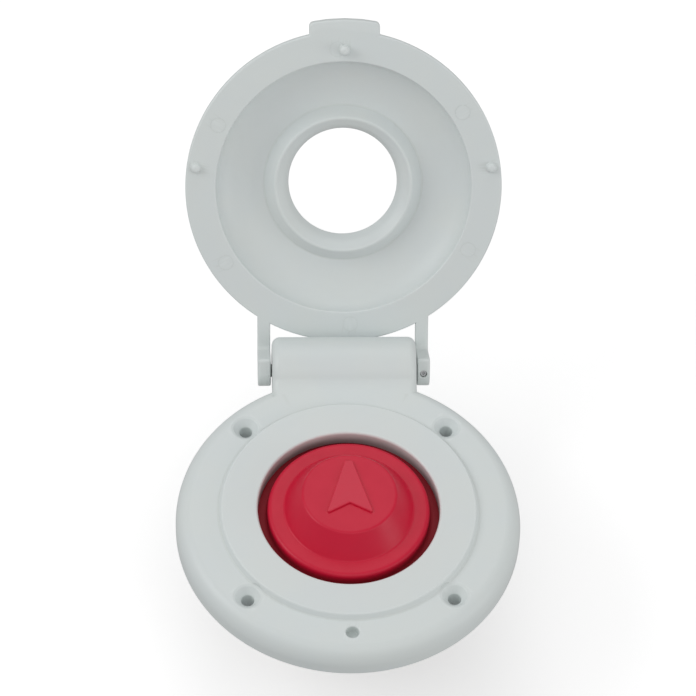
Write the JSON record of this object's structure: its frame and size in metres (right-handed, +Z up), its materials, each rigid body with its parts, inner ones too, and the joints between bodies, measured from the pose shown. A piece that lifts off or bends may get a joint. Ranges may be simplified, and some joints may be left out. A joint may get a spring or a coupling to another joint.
{
  "type": "deck foot switch",
  "caption": "Round deck-mounted foot switch: flange with hinged guard lid, rubber-booted push button, sealed contact housing and screw terminals below the deck",
  "frame": {"origin": "centre of the flange on the deck plane, which is the underside of the flange", "axes": "+Z up out of the deck, +Y from the button to the hinge, +X to the right of someone facing the hinge"},
  "size_m": [0.084, 0.1487, 0.1057],
  "materials": {
    "white_plastic": "satin moulded, slightly cool white",
    "red_rubber": "satin moulded red rubber",
    "black_rubber": "matt black seal rubber",
    "black_plastic": "fine-textured black moulding",
    "stainless": "plain bright stainless steel",
    "brass": "turned and milled, lightly dulled",
    "copper": "stamped copper bar, lightly dulled",
    "silver": "pressed silver contact faces"
  },
  "bodies": {
    "base": {"base_flange": "white_plastic", "deck_gasket": "black_rubber", "boot_skirt": "red_rubber", "clamp_ring": "stainless", "switch_housing": "black_plastic", "plunger_guide": "black_plastic", "return_spring": "stainless", "housing_screw_1": "stainless", "housing_screw_2": "stainless", "housing_screw_3": "stainless", "housing_screw_4": "stainless", "fixed_contact_left": "silver", "fixed_contact_right": "silver", "terminal_stud_left": "brass", "terminal_stud_right": "brass", "stud_seal_left": "black_rubber", "stud_seal_right": "black_rubber", "lock_nut_left": "brass", "lock_nut_right": "brass", "flat_washer_left": "brass", "flat_washer_right": "brass", "spring_washer_left": "stainless", "spring_washer_right": "stainless", "terminal_nut_left": "brass", "terminal_nut_right": "brass"},
    "lid": {"guard_lid": "white_plastic", "hinge_pin": "stainless", "hinge_pin_set_screw": "stainless"},
    "button": {"button_pad": "red_rubber", "spring_cap": "black_plastic", "plunger": "black_plastic", "contact_bridge": "copper", "contact_spring": "stainless", "plunger_clip": "stainless", "moving_contact_left": "silver", "moving_contact_right": "silver"}
  },
  "joints": [
    {"name": "lid_hinge", "type": "hinge", "parent": "base", "child": "lid", "pos_m": [0, 0.0455, 0.004], "axis": [1, 0, 0], "range_deg": [0, 128]},
    {"name": "button_press", "type": "slide", "parent": "base", "child": "button", "axis": [0, 0, -1], "range_m": [0, 0.0035], "stiffness_N_per_m": 6000, "springref_m": -0.0015, "deforming": ["return_spring", "boot_skirt"]}
  ]
}
